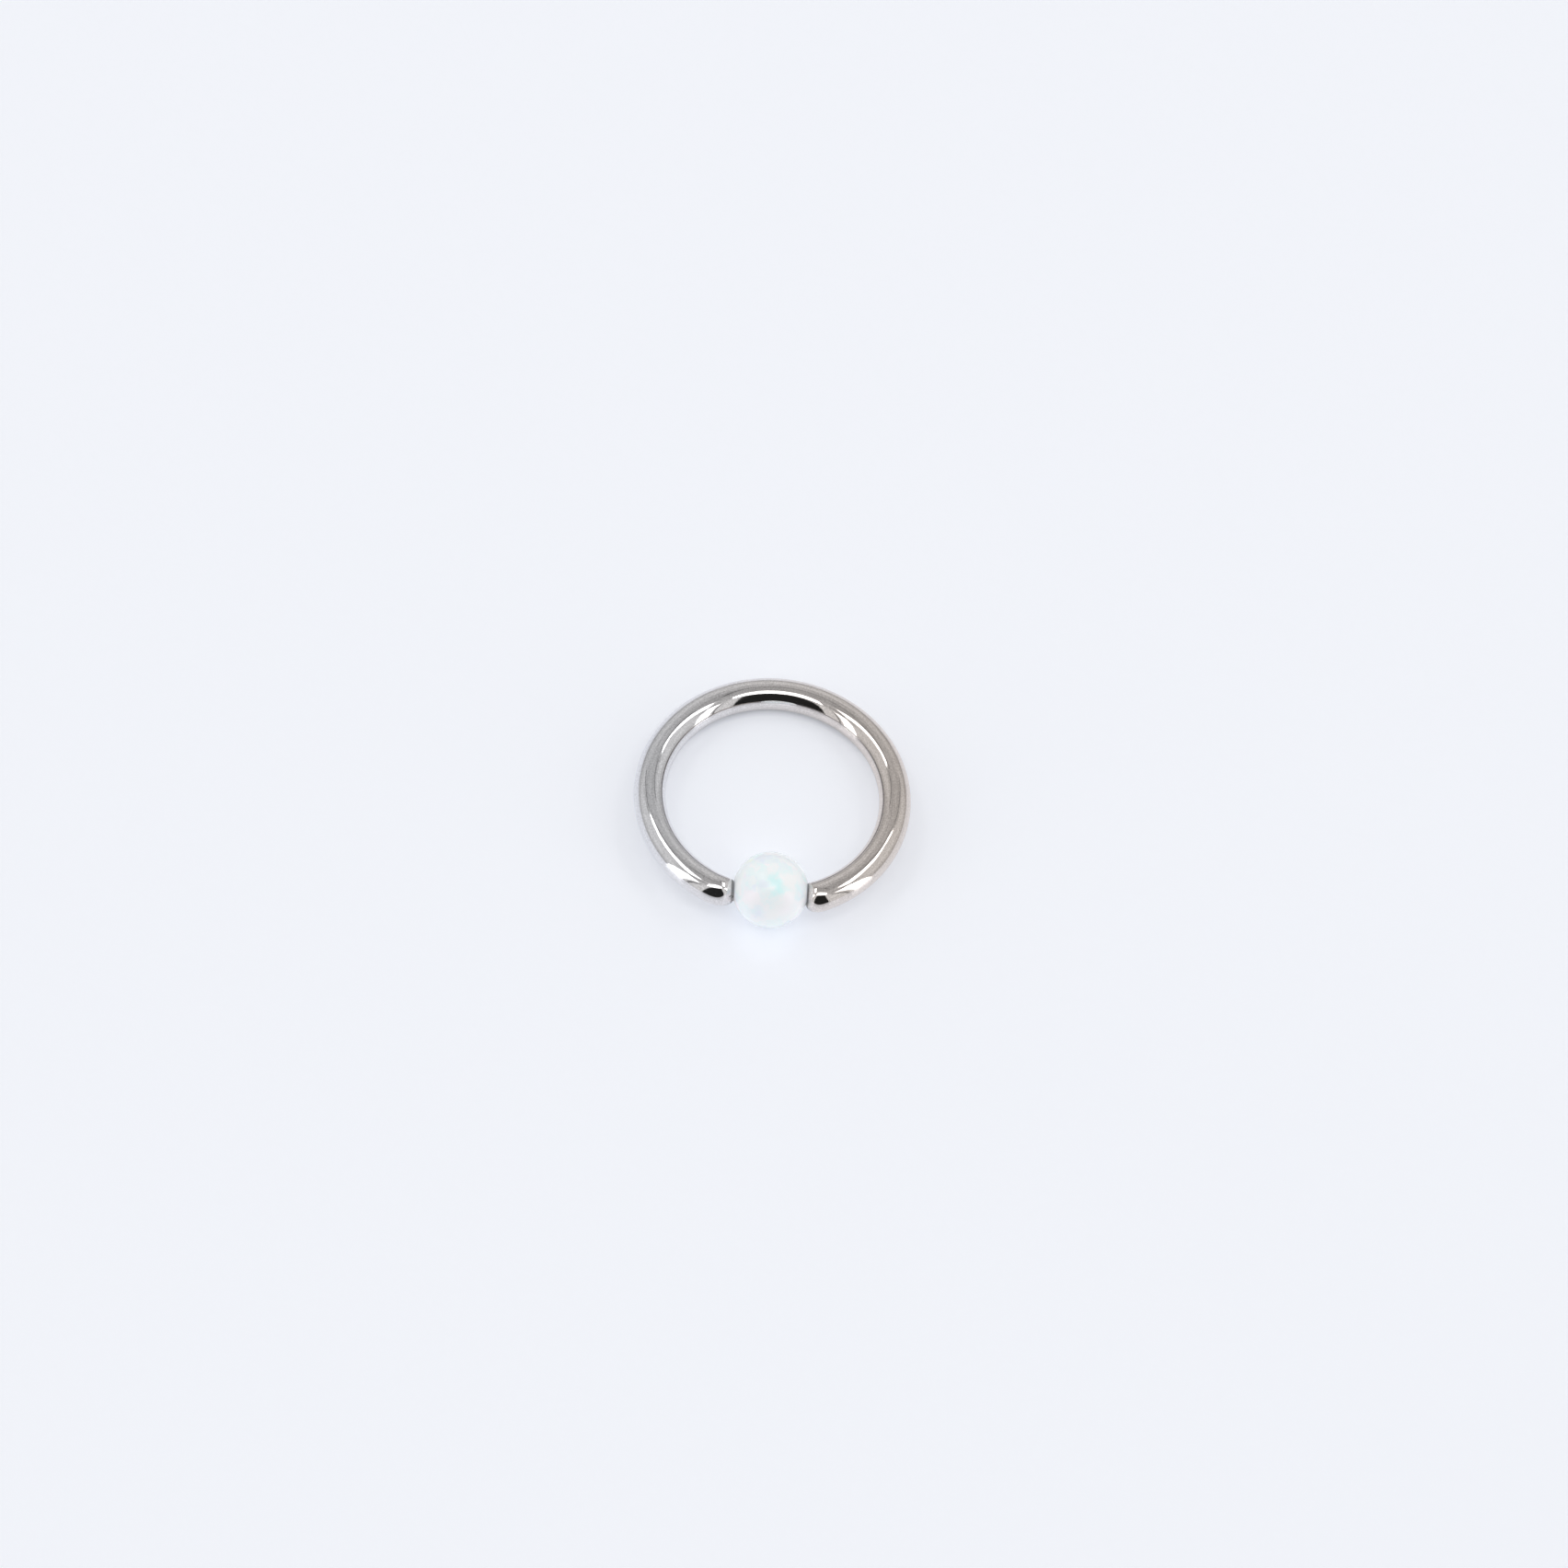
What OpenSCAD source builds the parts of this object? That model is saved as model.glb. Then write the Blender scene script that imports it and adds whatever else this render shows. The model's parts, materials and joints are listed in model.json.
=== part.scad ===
// Captive bead ring: a round wire bent into an open circle, and a bead held in its gap.
// Each end of the wire seats in a dimple in the side of the bead, and the bead turns there.
// The ring lies at rest on the plane Z = 0: its rear on the wire, its front on the bead.
// The origin is on that plane, under the middle of the outline. The gap faces -Y.

/* [Ring] */
// Thickness of the round wire
wire_d = 1.2; // [1:0.05:1.6]
// Inside diameter of the ring
inner_d = 8; // [7:0.5:10]
// Diameter of the ball that rounds each end of the wire
nose_d = 1.9; // [1.8:0.05:2.4]
// Width of the flat at the tip of each end
face_d = 0.66; // [0.5:0.02:0.8]

/* [Bead] */
// Diameter of the bead
bead_d = 2.86; // [2.6:0.02:3.4]
// Width across the mouth of each dimple
dimple_d = 0.86; // [0.7:0.02:1]
// Depth of each dimple below its mouth
dimple_depth = 0.25; // [0.2:0.01:0.32]

/* [Fit] */
// How far the dimples' line lies outside the inner edge of the wire's ends
seat_offset = 0.28; // [0.2:0.01:0.4]
// Running gap between the wire's ends and the bead
seat_gap = 0.02; // [0.01:0.01:0.08]

/* [Hidden] */
$fn = 128;

wire_r = wire_d / 2;
inner_r = inner_d / 2;
bead_r = bead_d / 2;
// Radius of the wire's centre line
bend_r = inner_r + wire_r;
outer_r = inner_r + wire_d;
nose_r = nose_d / 2;
face_r = face_d / 2;

// Each dimple is the print of a ball that is centred on the X axis
mouth_r = dimple_d / 2;
mouth_x = sqrt(bead_r ^ 2 - mouth_r ^ 2);
ball_r = (mouth_r ^ 2 + dimple_depth ^ 2) / (2 * dimple_depth);
ball_x = mouth_x - dimple_depth + ball_r;

// How far the ball at each wire's end falls back from its tip at distance r from the dimples' line
function fall(r) = nose_r - sqrt(nose_r ^ 2 - r ^ 2);

// Each end's flat tip is square to the dimples' line, and clears the dimple's mouth and its hollow
nose_lift = max(fall(mouth_r) - fall(face_r), 0);
hollow_x = ball_x - sqrt(max(ball_r ^ 2 - face_r ^ 2, 0));
face_x = max(mouth_x - nose_lift, min(hollow_x, mouth_x)) + seat_gap;
nose_x = face_x + sqrt(nose_r ^ 2 - face_r ^ 2);

// The dimples' line crosses the flat tips, just outside the wire's inner edge there
bead_y = sqrt(inner_r ^ 2 - face_x ^ 2) + seat_offset;

// The thicker bead lifts the front of the ring, which leans back until its rear touches
lean = asin((bead_r - wire_r) / (bend_r + bead_y));
centre_z = bend_r * sin(lean) + wire_r;
rear_y = bend_r * cos(lean) + wire_r;
front_y = bead_y * cos(lean) + bead_r;

// Lays the ring's own plane down on its rear and its bead
module lie_down() {
    translate([0, (front_y - rear_y) / 2, centre_z])
        rotate([-lean, 0, 0])
            children();
}

// The uncut wire runs on past its flat tips by this angle
spare_angle = 3;
open_angle = asin(face_x / outer_r) - spare_angle;
// Reach of the cut, all round the dimples' line
cut_r = 2 * wire_d;

// What the cut takes off the right end: all up to its flat tip, and the corners round its ball
module end_waste() {
    translate([0, -bead_y, 0])
        rotate([0, 90, 0])
            rotate_extrude()
                difference() {
                    square([cut_r, nose_x]);
                    intersection() {
                        translate([0, nose_x])
                            circle(r = nose_r);
                        translate([0, face_x])
                            square([2 * nose_r, 2 * nose_r]);
                    }
                }
}

module ring() {
    color("silver")
        lie_down()
            difference() {
                rotate([0, 0, open_angle - 90])
                    rotate_extrude(angle = 360 - 2 * open_angle)
                        translate([bend_r, 0])
                            circle(r = wire_r);
                for (side = [0, 1])
                    mirror([side, 0, 0])
                        end_waste();
            }
}

// Half of the bead's section: its ball less the two dimples, right of the spin axis
module bead_section() {
    difference() {
        circle(r = bead_r);
        for (side = [-1, 1])
            translate([0, side * ball_x])
                circle(r = ball_r);
        translate([-bead_d, -bead_d])
            square([bead_d, 2 * bead_d]);
    }
}

module bead() {
    color("ghostwhite")
        lie_down()
            translate([0, -bead_y, 0])
                rotate([0, 90, 0])
                    rotate_extrude()
                        bead_section();
}

ring();
bead();
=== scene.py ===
"""Captive bead ring: a polished wire ring, and a pale opal bead held in its gap, on a white sheet."""

import json
import math

import bpy
from mathutils import Matrix, Vector


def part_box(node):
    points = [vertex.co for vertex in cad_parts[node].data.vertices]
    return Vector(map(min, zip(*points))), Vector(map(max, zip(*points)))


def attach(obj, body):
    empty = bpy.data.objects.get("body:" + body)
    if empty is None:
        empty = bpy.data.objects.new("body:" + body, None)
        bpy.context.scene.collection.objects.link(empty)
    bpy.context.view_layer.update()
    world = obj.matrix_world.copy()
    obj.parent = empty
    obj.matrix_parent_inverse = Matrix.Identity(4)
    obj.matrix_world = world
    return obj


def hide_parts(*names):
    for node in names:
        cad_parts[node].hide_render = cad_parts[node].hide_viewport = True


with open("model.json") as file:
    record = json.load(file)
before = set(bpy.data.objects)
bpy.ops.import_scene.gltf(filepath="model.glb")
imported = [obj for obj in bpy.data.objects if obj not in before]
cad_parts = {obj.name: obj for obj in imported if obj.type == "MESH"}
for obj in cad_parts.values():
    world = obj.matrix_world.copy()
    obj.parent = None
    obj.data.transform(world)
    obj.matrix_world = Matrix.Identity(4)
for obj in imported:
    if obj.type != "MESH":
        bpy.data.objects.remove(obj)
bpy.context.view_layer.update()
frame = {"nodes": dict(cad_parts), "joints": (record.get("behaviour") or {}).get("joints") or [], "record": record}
MM = 0.001


# Camera, fitted to the photograph: the outline of the ring, the bead and the wire's ends
CAM_DISTANCE = 400 * MM
CAM_AZIMUTH = -5.36
CAM_ELEVATION = 63.40
CAM_ROLL = 7.49
CAM_TARGET = Vector((0, 0, 1 * MM))
CAM_ASIDE = 0.442 * MM
CAM_ABOVE = 0.658 * MM
FRAME_WIDTH = 58.683 * MM
SENSOR = 36.0
CLIP_NEAR = 10 * MM
CLIP_FAR = 10


def direction(azimuth, elevation):
    """The unit vector at these degrees, azimuth 0 towards the viewer (-Y) and 90 towards +X."""
    a, e = math.radians(azimuth), math.radians(elevation)
    return Vector((math.sin(a) * math.cos(e), -math.cos(a) * math.cos(e), math.sin(e)))


def picture_axes():
    """The directions to the right in the photograph, up in it, and back to the viewer."""
    back = direction(CAM_AZIMUTH, CAM_ELEVATION)
    level = (-back).cross(Vector((0, 0, 1))).normalized()
    rise = level.cross(-back)
    c, s = math.cos(math.radians(CAM_ROLL)), math.sin(math.radians(CAM_ROLL))
    return c * level + s * rise, -s * level + c * rise, back


def make_camera():
    """The photograph's viewpoint: a long lens high in front, with the picture turned a little."""
    right, up, back = picture_axes()
    data = bpy.data.cameras.new("camera")
    data.sensor_width = SENSOR
    data.lens = SENSOR * CAM_DISTANCE / FRAME_WIDTH
    data.clip_start = CLIP_NEAR
    data.clip_end = CLIP_FAR
    camera = bpy.data.objects.new("camera", data)
    bpy.context.scene.collection.objects.link(camera)
    camera.rotation_mode = "QUATERNION"
    camera.rotation_quaternion = Matrix((right, up, back)).transposed().to_quaternion()
    camera.location = CAM_TARGET + CAM_ASIDE * right + CAM_ABOVE * up + CAM_DISTANCE * back
    bpy.context.scene.camera = camera


# Sizes read from the frame
ring_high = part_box("ring")[1]
bead_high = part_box("bead")[1]
BEAD_CENTRE = Vector(frame["joints"][0]["pos_m"])
REAR_WIRE = Vector(next(m for m in frame["record"]["mounts"] if m["name"] == "worn_wire")["pos_m"])
WIRE_R = REAR_WIRE.z
BEND_R = ring_high.x - WIRE_R
BEAD_R = bead_high.z - BEAD_CENTRE.z
LEAN = math.atan2(BEAD_CENTRE.z - REAR_WIRE.z, REAR_WIRE.y - BEAD_CENTRE.y)
FORWARD = Vector((0, -math.cos(LEAN), math.sin(LEAN)))
PLANE_UP = Vector((0, math.sin(LEAN), math.cos(LEAN)))
RING_CENTRE = REAR_WIRE + BEND_R * FORWARD
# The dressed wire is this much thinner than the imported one, to stay inside its box
BOX_MARGIN = 0.001 * MM
DRESSED_R = WIRE_R - BOX_MARGIN
# The rim of each dimple in the bead, and how far aside the wire's flat ends are
MOUTH_X = bead_high.x
MOUTH_R = math.sqrt(BEAD_R**2 - MOUTH_X**2)
FACE_X = min(
    abs(v.co.x)
    for v in frame["nodes"]["ring"].data.vertices
    if (v.co - RING_CENTRE).dot(FORWARD) > 0
)
# The edge of the wire's flat ends: nearly square, and eased far back on the upper outer side
EDGE_ROUND = 0.04 * MM
EASED_ROUND = {1: 1.05 * MM, -1: 1.50 * MM}
EASED_LEAN = math.radians(18)
CORNER_POWER = 3.0


def make_mesh(name, points, faces, smooth=True):
    """A mesh object, its origin at zero so that its vertices are its place."""
    mesh = bpy.data.meshes.new(name)
    mesh.from_pydata([tuple(p) for p in points], [], faces)
    mesh.validate()
    mesh.update()
    if smooth:
        mesh.shade_smooth()
    obj = bpy.data.objects.new(name, mesh)
    bpy.context.scene.collection.objects.link(obj)
    return obj


def stitch(rings, count):
    """Quads between successive rings of count points each, numbered ring after ring."""
    faces = []
    for i in range(rings - 1):
        here, after = i * count, (i + 1) * count
        for k in range(count):
            m = (k + 1) % count
            faces.append((here + k, here + m, after + m, after + k))
    return faces


def plane_point(x, forward, up):
    """A point from its place in the ring's own plane: aside, towards the bead, and above."""
    return RING_CENTRE + Vector((x, 0, 0)) + forward * FORWARD + up * PLANE_UP


def soft_corner(a, b, reach):
    """Depth outside two surfaces whose corner is eased over this reach, from the depths outside each."""
    u, v = max(1 + a / reach, 0), max(1 + b / reach, 0)
    eased = (u**CORNER_POWER + v**CORNER_POWER) ** (1 / CORNER_POWER) - 1
    return reach * eased if u + v > 0 else max(a, b)


def end_depth(x, forward, up, side):
    """How far a point near one end lies outside the finished wire, negative inside it."""
    reach = math.hypot(x, forward)
    wire = math.hypot(reach - BEND_R, up) - DRESSED_R
    # The lean jumps at the wire's own centre line, which leaves a small twist in the flat end there
    lean = math.atan2(up, reach - BEND_R)
    share = (1 + math.cos(lean - EASED_LEAN)) / 2
    rounding = EDGE_ROUND + (EASED_ROUND[side] - EDGE_ROUND) * share
    return soft_corner(wire, FACE_X - x, rounding)


# The wire's mesh: points round it, rows along the plain arc, and finer rows over each end
WIRE_SIDES = 96
ARC_STEPS = 300
SLEEVE_STEPS = 60
CAP_STEPS = 80
# How far back from the flat end those finer rows begin, and where they turn in to close it
SLEEVE_START = 1.9 * MM
CAP_START = 0.55 * MM
# The last row stops just short of the tip's middle, at this share of a right angle
TIP_SHARE = 0.9999
# How often the search for the wire's surface halves its range
HALVINGS = 40


def cap_radius(start, ray, side):
    """Distance from a point inside the wire to its finished surface, along a ray."""
    low, high = 0.0, 2 * DRESSED_R
    for _ in range(HALVINGS):
        middle = (low + high) / 2
        if end_depth(*(s + middle * r for s, r in zip(start, ray)), side) < 0:
            low = middle
        else:
            high = middle
    return high


def arc_frame(x):
    """On the wire's centre line at this x: the point, the way out of the bend, and the way to the tip."""
    s = x / BEND_R
    c = math.sqrt(1 - s * s)
    return (BEND_R * s, BEND_R * c, 0), (s, c, 0), (-c, s, 0)


def end_row(x, polar, sides, side):
    """Points all round the wire, seen from its centre line at x, turned this far towards the tip."""
    start, outward, along = arc_frame(x)
    row = []
    for b in sides:
        flat = math.cos(polar) * math.cos(b)
        ray = (
            flat * outward[0] + math.sin(polar) * along[0],
            flat * outward[1] + math.sin(polar) * along[1],
            math.cos(polar) * math.sin(b),
        )
        reach = cap_radius(start, ray, side)
        point = [p + reach * r for p, r in zip(start, ray)]
        row.append((side * point[0], point[1], point[2]))
    return row


def wire_end(side, sides):
    """Rows of points over one end, from its tip back to the plain arc."""
    rows = []
    for j in range(CAP_STEPS, 0, -1):
        polar = math.pi / 2 * min(j / CAP_STEPS, TIP_SHARE)
        rows.append(end_row(FACE_X + CAP_START, polar, sides, side))
    for j in range(SLEEVE_STEPS):
        x = FACE_X + CAP_START + (SLEEVE_START - CAP_START) * j / SLEEVE_STEPS
        rows.append(end_row(x, 0, sides, side))
    return rows


def make_ring():
    """The wire bent round in an arc, each end flat to the bead and rounded over its outer side."""
    start_angle = math.asin((FACE_X + SLEEVE_START) / BEND_R)
    sides = [2 * math.pi * k / WIRE_SIDES for k in range(WIRE_SIDES)]
    body = []
    for i in range(ARC_STEPS + 1):
        angle = start_angle + (2 * math.pi - 2 * start_angle) * i / ARC_STEPS
        body.append([
            (
                (BEND_R + DRESSED_R * math.cos(b)) * math.sin(angle),
                (BEND_R + DRESSED_R * math.cos(b)) * math.cos(angle),
                DRESSED_R * math.sin(b),
            )
            for b in sides
        ])
    rows = wire_end(1, sides) + body + wire_end(-1, sides)[::-1]
    points = [plane_point(*p) for row in rows for p in row]
    faces = stitch(len(rows), WIRE_SIDES)
    faces.append(tuple(reversed(range(WIRE_SIDES))))
    faces.append(tuple(range((len(rows) - 1) * WIRE_SIDES, len(rows) * WIRE_SIDES)))
    return make_mesh("polished_ring", points, faces)


# The bead's mesh: points round it, rows over its ball, and rows in each dimple
BEAD_SIDES = 128
BEAD_STEPS = 120
DIMPLE_STEPS = 16
# Points this near the spin axis, as a share of the dimple's width, are at its bottom
AXIS_SHARE = 0.1


def make_bead():
    """A ball with a round dimple in each side, turned about the line through the dimples."""
    tip = min(abs(v.co.x) for v in frame["nodes"]["bead"].data.vertices
              if (v.co - BEAD_CENTRE).yz.length < AXIS_SHARE * MOUTH_R)
    depth = MOUTH_X - tip
    ball_r = (MOUTH_R**2 + depth**2) / (2 * depth)
    ball_x = tip + ball_r
    edge = math.asin(MOUTH_R / BEAD_R)
    rim = math.asin(MOUTH_R / ball_r)
    profile = []
    for i in range(1, DIMPLE_STEPS + 1):
        a = rim * i / DIMPLE_STEPS
        profile.append((ball_x - ball_r * math.cos(a), ball_r * math.sin(a)))
    for i in range(1, BEAD_STEPS):
        a = edge + (math.pi - 2 * edge) * i / BEAD_STEPS
        profile.append((BEAD_R * math.cos(a), BEAD_R * math.sin(a)))
    for i in range(DIMPLE_STEPS, 0, -1):
        a = rim * i / DIMPLE_STEPS
        profile.append((ball_r * math.cos(a) - ball_x, ball_r * math.sin(a)))
    points = []
    for x, r in profile:
        for k in range(BEAD_SIDES):
            b = 2 * math.pi * k / BEAD_SIDES
            points.append(BEAD_CENTRE + Vector((x, r * math.cos(b), r * math.sin(b))))
    faces = stitch(len(profile), BEAD_SIDES)
    first, last = len(points), len(points) + 1
    points.append(BEAD_CENTRE + Vector((tip, 0, 0)))
    points.append(BEAD_CENTRE - Vector((tip, 0, 0)))
    start = (len(profile) - 1) * BEAD_SIDES
    for k in range(BEAD_SIDES):
        m = (k + 1) % BEAD_SIDES
        faces.append((m, k, first))
        faces.append((start + k, start + m, last))
    return make_mesh("opal_bead", points, faces)


def new_material(name):
    """A material with nodes, its Principled shader and its node tree."""
    material = bpy.data.materials.new(name)
    material.use_nodes = True
    tree = material.node_tree
    shader = next(n for n in tree.nodes if n.type == "BSDF_PRINCIPLED")
    return material, tree, shader


def feed(tree, socket, value):
    """Links a socket to an input, or sets a plain number, vector or colour there."""
    if isinstance(value, bpy.types.NodeSocket):
        tree.links.new(value, socket)
    else:
        socket.default_value = value


def maths(tree, operation, *values):
    """The outcome of this operation on these sockets or numbers."""
    node = tree.nodes.new("ShaderNodeMath")
    node.operation = operation
    for socket, value in zip(node.inputs, values):
        feed(tree, socket, value)
    return node.outputs[0]


def vector_maths(tree, operation, *values):
    """The outcome of this operation on these vectors."""
    node = tree.nodes.new("ShaderNodeVectorMath")
    node.operation = operation
    for socket, value in zip(node.inputs, values):
        feed(tree, socket, value)
    return node.outputs["Value" if operation == "DISTANCE" else "Vector"]


def blend(tree, kind, factor, a, b):
    """Two colours, mixed or multiplied."""
    node = tree.nodes.new("ShaderNodeMix")
    node.data_type = "RGBA"
    node.blend_type = kind
    feed(tree, node.inputs["Factor"], factor)
    sockets = [s for s in node.inputs if s.type == "RGBA"]
    feed(tree, sockets[0], a)
    feed(tree, sockets[1], b)
    return next(s for s in node.outputs if s.type == "RGBA")


def spread(tree, value, from_low, from_high, low, high, smooth=False):
    """A value brought from one range to another."""
    node = tree.nodes.new("ShaderNodeMapRange")
    node.interpolation_type = "SMOOTHSTEP" if smooth else "LINEAR"
    names = ("From Min", "From Max", "To Min", "To Max")
    for name, number in zip(names, (from_low, from_high, low, high)):
        node.inputs[name].default_value = number
    feed(tree, node.inputs["Value"], value)
    return node.outputs[0]


def noise(tree, place, scale, detail=2.0):
    """Soft noise at this many grains per unit: its value and its colour."""
    node = tree.nodes.new("ShaderNodeTexNoise")
    node.inputs["Scale"].default_value = scale
    node.inputs["Detail"].default_value = detail
    feed(tree, node.inputs["Vector"], place)
    return node.outputs[0], node.outputs[1]


def ramp(tree, value, stops):
    """A colour that follows a value between 0 and 1, by stops of a position and a colour."""
    node = tree.nodes.new("ShaderNodeValToRGB")
    elements = node.color_ramp.elements
    while len(elements) < len(stops):
        elements.new(0.5)
    for element, (position, colour) in zip(elements, stops):
        element.position = position
        element.color = (*colour, 1)
    tree.links.new(value, node.inputs[0])
    return node.outputs[0]


# The middle of a noise texture, and the range that holds most of it
NOISE_MIDDLE = 0.5
NOISE_LOW = 0.3
NOISE_HIGH = 0.7

# Steel: its colour, with a painted reflection tint, cooler at the left and darker and warmer at the right for the
# warmer, darker reflections on that side; and the marks of grinding and polishing
STEEL_PAINTED_COOL_LEFT = (0.768, 0.768, 0.790)
STEEL_PAINTED_WARM_RIGHT = (0.735, 0.668, 0.622)
GRAIN_SIZE = 0.055 * MM
GRAIN_DEPTH = 0.14
GRAIN_DETAIL = 3.0
LINE_WIDTH = 0.045 * MM
LINE_LENGTH = 0.60 * MM
LINE_DEPTH = 0.06
LINE_DETAIL = 1.0
POLISH_WAVE = 0.16 * MM
POLISH_HEIGHT = 0.0005 * MM
POLISH_DETAIL = 1.0
SMOOTHEST = 0.03
ROUGHEST = 0.09
# Painted shade: the share of its colour that steel keeps where it is seen in a reflection, above all in other
# steel, darkening its mirrored images for the shade under the far side of the ring
REFLECTED_STEEL_PAINTED_SHADE = 0.55
# Painted shade in a band at each flat end, for the dark gap between the end and the bead that the metal reflects:
# its width, its fade, how far it is shifted aside, and its shade
CUT_WIDTH = 0.090 * MM
CUT_FADE = CUT_WIDTH / 3
CUT_SHIFT = 0.025 * MM
END_GAP_PAINTED_SHADE = 0.42


def steel_material():
    """Polished steel with a fine grain, faint polishing lines along the wire and a slightly wavy face; with
    painted shade in a band at each flat end and on its images in reflections, and a painted reflection tint,
    cooler at the left and warmer at the right.
    """
    material, tree, shader = new_material("polished_steel")
    place = tree.nodes.new("ShaderNodeTexCoord").outputs["Object"]
    split = tree.nodes.new("ShaderNodeSeparateXYZ")
    tree.links.new(vector_maths(tree, "SUBTRACT", place, RING_CENTRE), split.inputs[0])
    x, y, z = split.outputs
    squares = maths(tree, "ADD", maths(tree, "MULTIPLY", x, x), maths(tree, "MULTIPLY", y, y))
    out = maths(tree, "SQRT", squares)
    turn = maths(tree, "ARCTAN2", x, y)
    along = tree.nodes.new("ShaderNodeCombineXYZ")
    tree.links.new(maths(tree, "MULTIPLY", turn, BEND_R / LINE_LENGTH), along.inputs[0])
    tree.links.new(maths(tree, "MULTIPLY", out, 1 / LINE_WIDTH), along.inputs[1])
    tree.links.new(maths(tree, "MULTIPLY", z, 1 / LINE_WIDTH), along.inputs[2])
    lines = noise(tree, along.outputs[0], 1.0, LINE_DETAIL)[0]
    grain = noise(tree, place, 1 / GRAIN_SIZE, GRAIN_DETAIL)[0]
    shade = maths(
        tree, "MULTIPLY",
        spread(tree, grain, NOISE_LOW, NOISE_HIGH, 1 - GRAIN_DEPTH, 1 + GRAIN_DEPTH),
        spread(tree, lines, NOISE_LOW, NOISE_HIGH, 1 - LINE_DEPTH, 1 + LINE_DEPTH),
    )
    # Painted shade: the colour is darkened in a band at each flat end, next to the bead, for the dark gap there
    cut = FACE_X + CUT_WIDTH
    aside = maths(tree, "ABSOLUTE", maths(tree, "ADD", x, CUT_SHIFT))
    painted_gap_shade = spread(tree, aside, cut, cut + CUT_FADE, END_GAP_PAINTED_SHADE, 1.0, smooth=True)
    in_front = spread(tree, y, -BEND_R / 2, 0.0, 0.0, 1.0)
    shade = maths(tree, "MULTIPLY", shade, maths(tree, "MAXIMUM", painted_gap_shade, in_front))
    # Painted shade: steel is darker wherever a reflection sees it
    mirrored = tree.nodes.new("ShaderNodeLightPath").outputs["Is Glossy Ray"]
    shade = maths(tree, "MULTIPLY", shade, spread(tree, mirrored, 0.0, 1.0, 1.0, REFLECTED_STEEL_PAINTED_SHADE))
    # Painted reflection tint: the steel's colour runs from cooler at the left to darker and warmer at the right
    across = spread(tree, x, -BEND_R, BEND_R, 0.0, 1.0)
    steel = blend(tree, "MIX", across, (*STEEL_PAINTED_COOL_LEFT, 1), (*STEEL_PAINTED_WARM_RIGHT, 1))
    colour = vector_maths(tree, "MULTIPLY", steel, shade)
    tree.links.new(colour, shader.inputs["Base Color"])
    roughness = spread(tree, lines, NOISE_LOW, NOISE_HIGH, SMOOTHEST, ROUGHEST)
    tree.links.new(roughness, shader.inputs["Roughness"])
    shader.inputs["Metallic"].default_value = 1
    bump = tree.nodes.new("ShaderNodeBump")
    bump.inputs["Distance"].default_value = POLISH_HEIGHT
    tree.links.new(noise(tree, place, 1 / POLISH_WAVE, POLISH_DETAIL)[0], bump.inputs["Height"])
    tree.links.new(bump.outputs[0], shader.inputs["Normal"])
    return material


# Opal: milky white, with soft coloured patches where the photograph shows them and others all round
MILK = (0.865, 0.918, 0.990)
TEAL = (0.70, 0.98, 1.00)
MINT = (0.93, 1.00, 0.97)
PINK = (1.00, 0.89, 0.99)
LAVENDER = (0.79, 0.83, 1.00)
BLUE = (0.75, 0.87, 1.00)
WARM = (0.94, 0.94, 0.91)
LIME = (0.89, 0.98, 0.80)
# Each patch: how far across and up from the bead's centre and how wide, as shares of its radius
PATCHES = (
    (0.08, 0.32, 0.20, TEAL, 0.8),
    (0.18, 0.17, 0.20, TEAL, 0.7),
    (0.29, 0.04, 0.22, TEAL, 0.9),
    (0.52, 0.27, 0.27, MINT, 0.9),
    (0.60, -0.05, 0.20, MINT, 0.4),
    (-0.52, -0.18, 0.24, PINK, 0.9),
    (0.45, -0.27, 0.20, PINK, 0.8),
    (0.38, -0.50, 0.20, PINK, 0.5),
    (-0.20, 0.15, 0.22, LAVENDER, 0.6),
    (-0.31, -0.62, 0.26, LAVENDER, 0.7),
    (-0.22, 0.85, 0.22, LAVENDER, 0.6),
    (-0.58, 0.76, 0.17, LIME, 0.7),
    (0.04, -0.67, 0.26, WARM, 0.7),
    (-0.87, -0.24, 0.22, BLUE, 0.7),
    (-0.60, -0.43, 0.20, BLUE, 0.4),
    (0.76, -0.10, 0.18, BLUE, 0.5),
)
# Each patch is full out to this share of its width, and gone at this one
PATCH_FULL = 0.2
PATCH_END = 1.3
# Cells of the play of colour: their size in radii of the bead, and their share of the colour
PLAY_SIZE = 0.36
PLAY_SHARE = 0.45
PINFIRE_SIZE = 0.12
PINFIRE_SHARE = 0.25
# Noise that bends the cells and patches, and noise that frays the patches' edges, in grains per radius
WARP_SCALE = 2.5
WARP_AMOUNT = 0.5
FRAY_SCALE = 9.0
FRAY_AMOUNT = 0.25
# Painted glow, light that the bead gives off though it is no lamp, at its foot and top; the heights in radii where
# it stops changing, and its loss at the rim
OPAL_GLOW_LOW = 0.28
OPAL_GLOW_HIGH = 0.13
GLOW_FOOT = -0.6
GLOW_TOP = 0.9
RIM_START = 0.45
RIM_LOSS = 0.45
OPAL_REACH = 0.8 * MM
OPAL_ROUGHNESS = 0.17
OPAL_IOR = 1.45
PLAY_STOPS = (
    (0.10, MILK), (0.22, LAVENDER), (0.34, MILK), (0.44, TEAL), (0.54, MILK),
    (0.66, MINT), (0.76, MILK), (0.88, PINK), (1.00, BLUE),
)


def play_of_colour(tree, place, size):
    """Soft cells of random pastel colour, this large."""
    cells = tree.nodes.new("ShaderNodeTexVoronoi")
    cells.inputs["Scale"].default_value = 1 / size
    tree.links.new(place, cells.inputs["Vector"])
    pick = tree.nodes.new("ShaderNodeSeparateColor")
    tree.links.new(cells.outputs["Color"], pick.inputs[0])
    return ramp(tree, pick.outputs[0], PLAY_STOPS)


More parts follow.
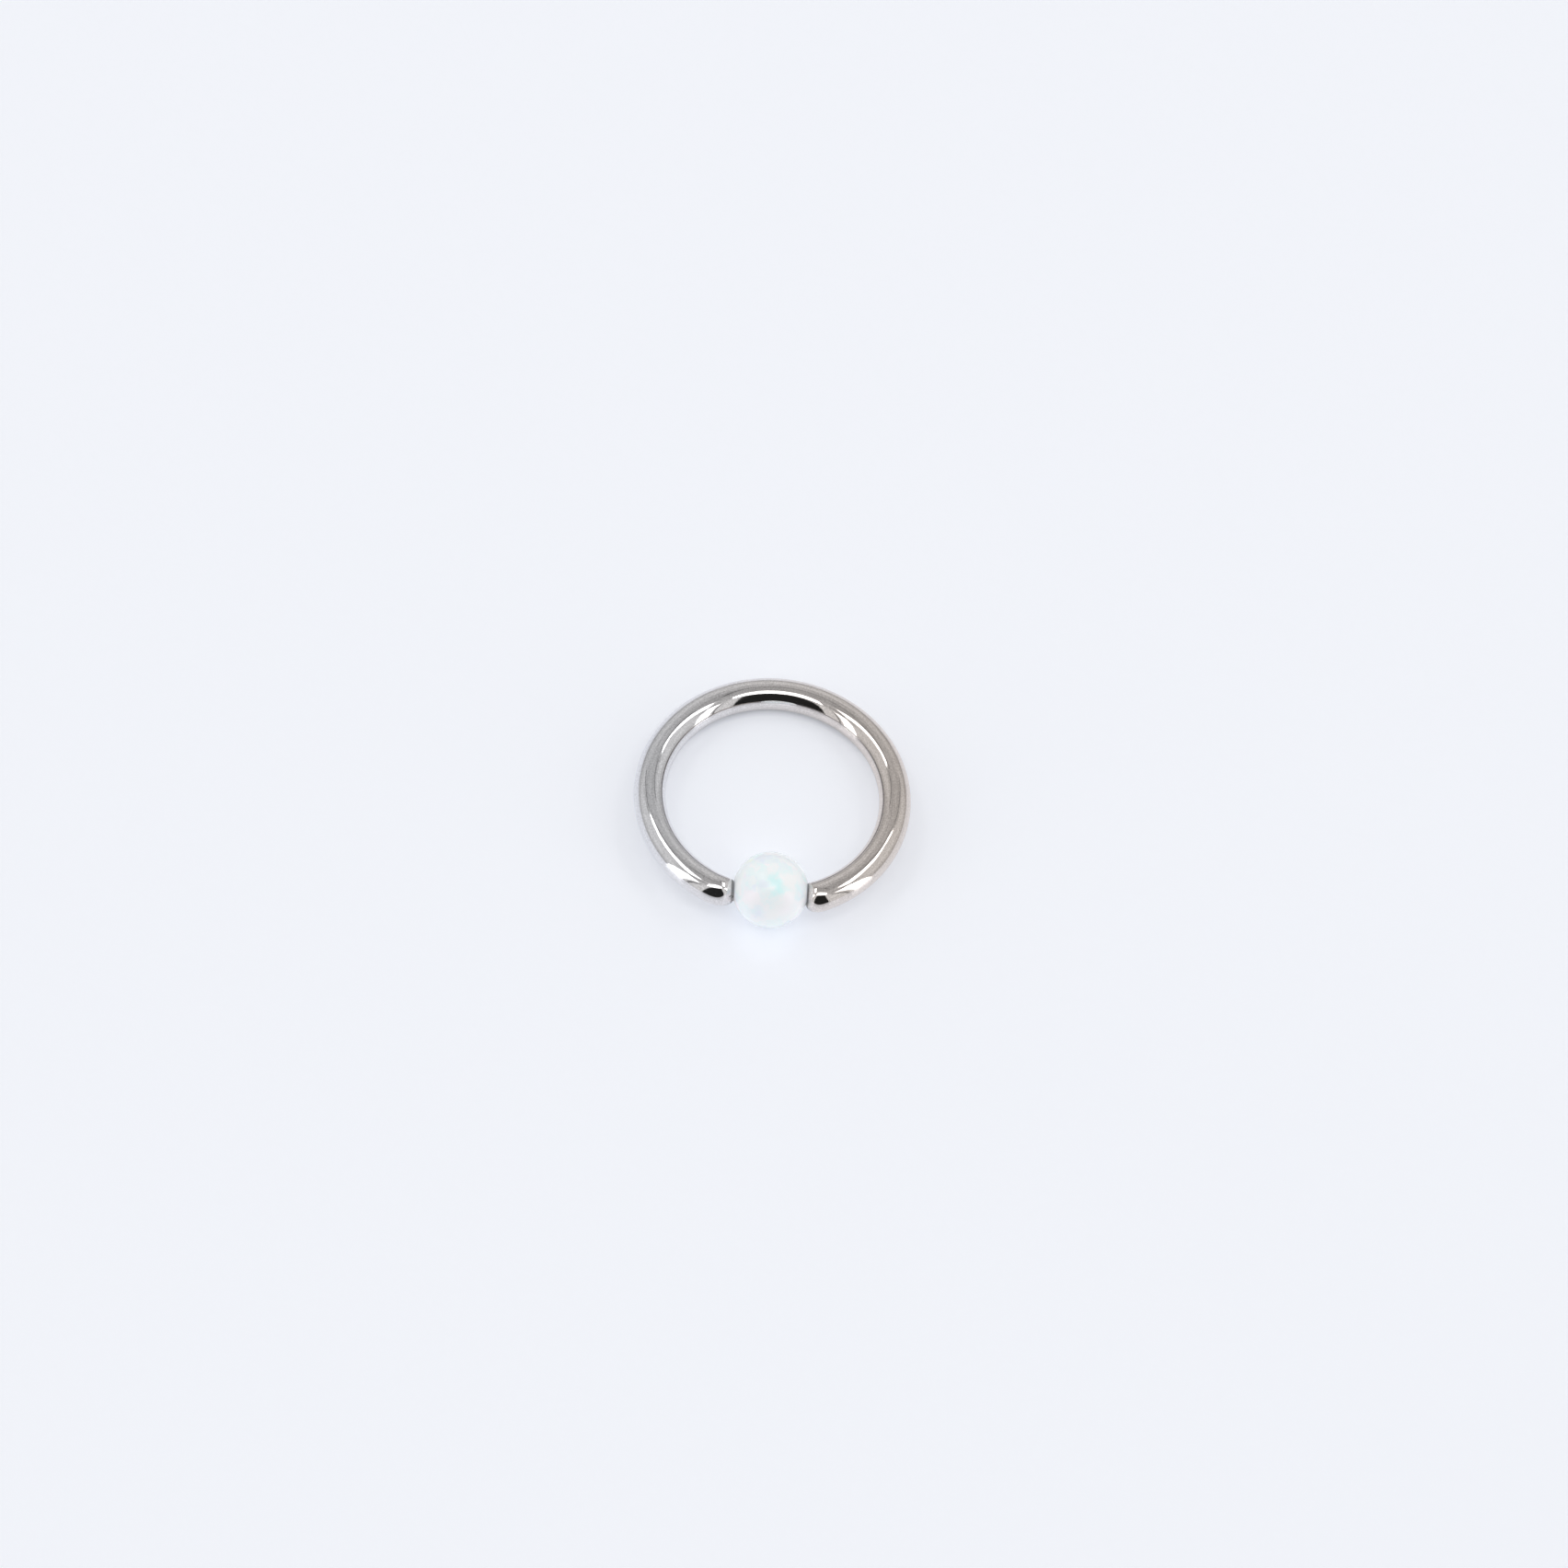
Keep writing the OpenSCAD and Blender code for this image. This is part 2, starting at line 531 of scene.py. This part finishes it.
def opal_material():
    """Milky polished opal, with painted glow: it gives off more light in its lower side and less at its rim."""
    material, tree, shader = new_material("white_opal")
    place = tree.nodes.new("ShaderNodeTexCoord").outputs["Object"]
    inside = vector_maths(tree, "SUBTRACT", place, BEAD_CENTRE)
    unit = vector_maths(tree, "MULTIPLY", inside, (1 / BEAD_R,) * 3)
    warp = vector_maths(tree, "SUBTRACT", noise(tree, unit, WARP_SCALE)[1], (NOISE_MIDDLE,) * 3)
    bent = vector_maths(tree, "ADD", unit, vector_maths(tree, "MULTIPLY", warp, (WARP_AMOUNT,) * 3))
    colour = blend(tree, "MIX", PLAY_SHARE, (*MILK, 1), play_of_colour(tree, bent, PLAY_SIZE))
    colour = blend(tree, "MIX", PINFIRE_SHARE, colour, play_of_colour(tree, bent, PINFIRE_SIZE))
    fray = noise(tree, unit, FRAY_SCALE)[0]
    ragged = spread(tree, fray, NOISE_LOW, NOISE_HIGH, 1 - FRAY_AMOUNT, 1 + FRAY_AMOUNT)
    right, up, back = picture_axes()
    for across, rise, reach, tint, strength in PATCHES:
        towards = math.sqrt(max(1 - across**2 - rise**2, 0))
        centre = across * right + rise * up + towards * back
        gap = maths(tree, "MULTIPLY", vector_maths(tree, "DISTANCE", bent, centre), ragged)
        mask = spread(tree, gap, PATCH_FULL * reach, PATCH_END * reach, strength, 0.0, smooth=True)
        colour = blend(tree, "MIX", mask, colour, (*tint, 1))
    tree.links.new(colour, shader.inputs["Base Color"])
    shader.inputs["Subsurface Weight"].default_value = 1
    shader.inputs["Subsurface Radius"].default_value = (1, 1, 1)
    shader.inputs["Subsurface Scale"].default_value = OPAL_REACH
    # Painted glow: the bead gives off light in its own colours, more at its foot and less at its rim
    tree.links.new(colour, shader.inputs["Emission Color"])
    edge = tree.nodes.new("ShaderNodeLayerWeight").outputs["Facing"]
    split = tree.nodes.new("ShaderNodeSeparateXYZ")
    tree.links.new(unit, split.inputs[0])
    through = maths(
        tree, "MULTIPLY",
        spread(tree, edge, RIM_START, 1.0, 1.0, 1 - RIM_LOSS, smooth=True),
        spread(tree, split.outputs[2], GLOW_FOOT, GLOW_TOP, OPAL_GLOW_LOW, OPAL_GLOW_HIGH),
    )
    tree.links.new(through, shader.inputs["Emission Strength"])
    shader.inputs["Roughness"].default_value = OPAL_ROUGHNESS
    shader.inputs["IOR"].default_value = OPAL_IOR
    return material


# Light, as radiance on the scale where the lit sheet is near 1
WHITE = 2.6
DARK = 0.02
SEAM_LIGHT = 0.18
ROOF_MIDDLE_LIGHT = 0.42
# The dome that the upright panels stand on, with its columns and rows of faces, and the roof's height
DOME_R = 600 * MM
WALL_COLUMNS = 24
WALL_ROWS = 12
ROOF_HEIGHT = 500 * MM
ROOF_MIDDLE_HEIGHT = 1.1 * ROOF_HEIGHT


def glow(name, strength):
    """A material that only gives off white light."""
    material = bpy.data.materials.new(name)
    material.use_nodes = True
    nodes = material.node_tree.nodes
    nodes.clear()
    emission = nodes.new("ShaderNodeEmission")
    emission.inputs["Color"].default_value = (1, 1, 1, 1)
    emission.inputs["Strength"].default_value = strength
    output = nodes.new("ShaderNodeOutputMaterial")
    material.node_tree.links.new(emission.outputs[0], output.inputs[0])
    return material


def show_panel(panel, light):
    """Gives a panel its light. The camera itself doesn't see it, and it isn't part of the object."""
    panel.data.materials.append(glow(panel.name, light))
    panel.visible_camera = False


def wall_panel(name, azimuths, elevations, light):
    """An upright panel between these azimuths and elevations."""
    points = []
    for j in range(WALL_ROWS + 1):
        for i in range(WALL_COLUMNS + 1):
            azimuth = azimuths[0] + (azimuths[1] - azimuths[0]) * i / WALL_COLUMNS
            elevation = elevations[0] + (elevations[1] - elevations[0]) * j / WALL_ROWS
            points.append(DOME_R * direction(azimuth, elevation))
    row = WALL_COLUMNS + 1
    faces = [
        (j * row + i, j * row + i + 1, (j + 1) * row + i + 1, (j + 1) * row + i)
        for j in range(WALL_ROWS)
        for i in range(WALL_COLUMNS)
    ]
    show_panel(make_mesh(name, points, faces), light)


def outlined_panel(name, corners, light):
    """A panel on the dome with these corners, each an azimuth and an elevation."""
    middle = (sum(a for a, _ in corners) / len(corners), sum(e for _, e in corners) / len(corners))
    points = [DOME_R * direction(*corner) for corner in (middle, *corners)]
    count = len(corners)
    faces = [(0, 1 + k, 1 + (k + 1) % count) for k in range(count)]
    show_panel(make_mesh(name, points, faces, smooth=False), light)


def roof_panel(name, corners, light, height=ROOF_HEIGHT):
    """A level panel overhead, its corners given as slopes away from the point above the ring."""
    points = [(x * height, y * height, height) for x, y in corners]
    faces = [tuple(range(len(corners)))]
    show_panel(make_mesh(name, points, faces, smooth=False), light)


# Corners of the panels overhead, as slopes, and of the opening for the camera, as directions
OVERHEAD = (
    (-0.49, -0.42), (0.50, -0.42), (0.40, -0.21), (0.24, -0.11),
    (0.10, -0.06), (-0.10, -0.06), (-0.28, -0.15),
)
ROOF_LEFT = ((-0.38, -0.02), (-0.37, 0.60), (-0.64, 0.60), (-0.64, -0.12), (-0.50, -0.08))
ROOF_RIGHT = ((0.45, 0.00), (0.44, 0.60), (0.71, 0.60), (0.71, -0.15), (0.56, -0.09))
ROOF_MIDDLE = ((-0.34, 0.02), (0.41, 0.02), (0.41, 0.60), (-0.34, 0.60))
OPENING = ((-40.5, 2), (-38.5, 40), (-35, 54), (-14, 66), (33, 61), (40, 57), (37, 40), (36.5, 2))

# Upright panels, the same on both sides: name, azimuths from the front, elevations and radiance
WALLS = (
    ("front", (40, 53.5), (2, 55), 0.76),
    ("edge", (53.5, 55.5), (5, 48), 0.20),
    ("gap", (55.5, 57.5), (2, 55), 0.76),
    ("strip", (58, 71.5), (-3, 49), WHITE),
    ("wall", (82, 128), (36, 53), 0.70),
    ("corner", (141, 144), (34, 50), 0.20),
)

# Dark seams and folds of the roof: the points along each, and its width
SEAMS = {
    "fold": (((-0.16, 0.44), (0.00, 0.50), (0.12, 0.44), (0.25, 0.22)), 0.03),
    "inner_left": (((-0.29, 0.36), (-0.29, 0.66)), 0.05),
    "inner_right": (((0.35, 0.36), (0.35, 0.66)), 0.05),
    "front_left": (((-0.85, -0.23), (-0.42, -0.19)), 0.035),
    "front_right": (((0.52, -0.22), (0.95, -0.26)), 0.035),
}


def seam_panels(name, points, width, light):
    """Narrow level strips overhead, from each of these points to the next."""
    for k in range(len(points) - 1):
        (ax, ay), (bx, by) = points[k], points[k + 1]
        length = math.hypot(bx - ax, by - ay)
        nx, ny = (ay - by) / length * width / 2, (bx - ax) / length * width / 2
        corners = ((ax - nx, ay - ny), (bx - nx, by - ny), (bx + nx, by + ny), (ax + nx, ay + ny))
        roof_panel(f"{name}_{k + 1}", corners, light)


def make_light():
    """A light tent: grey walls, white panels above and at the sides, and a dark opening in front."""
    roof_panel("overhead", OVERHEAD, WHITE)
    roof_panel("roof_left", ROOF_LEFT, WHITE)
    roof_panel("roof_right", ROOF_RIGHT, WHITE)
    roof_panel("roof_middle", ROOF_MIDDLE, ROOF_MIDDLE_LIGHT, height=ROOF_MIDDLE_HEIGHT)
    for name, (points, width) in SEAMS.items():
        seam_panels(name, points, width, SEAM_LIGHT)
    outlined_panel("opening", OPENING, DARK)
    for side, flip in (("left", -1), ("right", 1)):
        for name, (near, far), elevations, light in WALLS:
            wall_panel(f"{side}_{name}", (near * flip, far * flip), elevations, light)


# Light from the tent's walls and roof, by height: (elevation in degrees, radiance)
WALL_LIGHT = (
    (-10, 0.50), (3, 0.47), (10, 0.56), (20, 0.68), (32, 0.72), (42, 0.60),
    (47, 0.50), (52, 0.54), (70, 0.50), (90, 0.56),
)
# Share of that light, by the angle from the front: (angle in degrees, share)
WALL_SHARES = (
    (0, 1.0), (90, 1.04), (105, 1.04), (118, 1.0),
    (130, 0.92), (145, 0.82), (160, 0.94), (180, 1.0),
)


def angle_ramp(tree, value, steps):
    """A grey that follows this angle, in radians, by steps of an angle in degrees and a grey."""
    lowest, highest = steps[0][0], steps[-1][0]
    share = spread(tree, value, math.radians(lowest), math.radians(highest), 0.0, 1.0)
    stops = [((angle - lowest) / (highest - lowest), (grey,) * 3) for angle, grey in steps]
    return ramp(tree, share, stops)


# The even white that the camera sees past the edge of the sheet
SHEET_SEEN = (0.896, 0.913, 0.947)


def make_world():
    """Grey walls all round for what the light and the polish see, and the white sheet for the camera."""
    world = bpy.data.worlds.new("studio")
    bpy.context.scene.world = world
    world.use_nodes = True
    tree = world.node_tree
    nodes, links = tree.nodes, tree.links
    nodes.clear()
    place = nodes.new("ShaderNodeTexCoord")
    split = nodes.new("ShaderNodeSeparateXYZ")
    links.new(place.outputs["Generated"], split.inputs[0])
    x, y, z = split.outputs
    rise = maths(tree, "ARCSINE", z)
    back = maths(tree, "MULTIPLY", y, -1.0)
    turn = maths(tree, "ARCTAN2", maths(tree, "ABSOLUTE", x), back)
    by_height = angle_ramp(tree, rise, WALL_LIGHT)
    by_side = angle_ramp(tree, turn, WALL_SHARES)
    shade = blend(tree, "MULTIPLY", 1.0, by_height, by_side)
    path = nodes.new("ShaderNodeLightPath")
    walls = nodes.new("ShaderNodeBackground")
    links.new(shade, walls.inputs["Color"])
    sheet = nodes.new("ShaderNodeBackground")
    sheet.inputs["Color"].default_value = (*SHEET_SEEN, 1)
    mix = nodes.new("ShaderNodeMixShader")
    output = nodes.new("ShaderNodeOutputWorld")
    links.new(path.outputs["Is Camera Ray"], mix.inputs[0])
    links.new(walls.outputs[0], mix.inputs[1])
    links.new(sheet.outputs[0], mix.inputs[2])
    links.new(mix.outputs[0], output.inputs[0])


# The sheet: half its width, how far it is below the lowest point, its colour and its polish
FLOOR_HALF = 1500 * MM
FLOOR_DROP = 0.002 * MM
SHEET = (0.92, 0.935, 0.97)
SHEET_ROUGHNESS = 0.16
# Light from within the sheet, its share in the mix, and what is left of it under a thing that touches
SHEET_GLOW = (1.25, 1.29, 1.40)
SHEET_LIT = 0.28
CONTACT_SHADE = 0.5
# How far the contact's shade reaches: as the camera sees it, and as reflections and light see it
CONTACT_REACH = 0.3 * MM
UNDER_REACH = 0.9 * MM
CONTACT_SAMPLES = 4


def make_floor():
    """A glossy white sheet just under the lowest point, lit a little from within where it is open."""
    corners = [
        (x * FLOOR_HALF, y * FLOOR_HALF, -FLOOR_DROP)
        for x, y in ((-1, -1), (1, -1), (1, 1), (-1, 1))
    ]
    floor = make_mesh("floor", corners, [(0, 1, 2, 3)], smooth=False)
    material, tree, shader = new_material("white_sheet")
    nodes, links = tree.nodes, tree.links
    shader.inputs["Base Color"].default_value = (*SHEET, 1)
    shader.inputs["Roughness"].default_value = SHEET_ROUGHNESS
    contact = nodes.new("ShaderNodeAmbientOcclusion")
    contact.samples = CONTACT_SAMPLES
    seen = nodes.new("ShaderNodeLightPath").outputs["Is Camera Ray"]
    links.new(spread(tree, seen, 0.0, 1.0, UNDER_REACH, CONTACT_REACH), contact.inputs["Distance"])
    lamp = nodes.new("ShaderNodeEmission")
    lamp.inputs["Color"].default_value = (*SHEET_GLOW, 1)
    least = maths(tree, "MULTIPLY", seen, CONTACT_SHADE)
    rest = maths(tree, "SUBTRACT", 1.0, least)
    lit = maths(tree, "ADD", least, maths(tree, "MULTIPLY", contact.outputs["AO"], rest))
    links.new(lit, lamp.inputs["Strength"])
    mix = nodes.new("ShaderNodeMixShader")
    mix.inputs[0].default_value = SHEET_LIT
    links.new(shader.outputs[0], mix.inputs[1])
    links.new(lamp.outputs[0], mix.inputs[2])
    output = next(node for node in nodes if node.type == "OUTPUT_MATERIAL")
    links.new(mix.outputs[0], output.inputs["Surface"])
    floor.data.materials.append(material)


make_camera()
ring = make_ring()
bead = make_bead()
ring.data.materials.append(steel_material())
bead.data.materials.append(opal_material())
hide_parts("ring")
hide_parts("bead")
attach(ring, "ring")
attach(bead, "bead")
make_floor()
make_light()
make_world()
bpy.context.scene.view_settings.view_transform = "Standard"
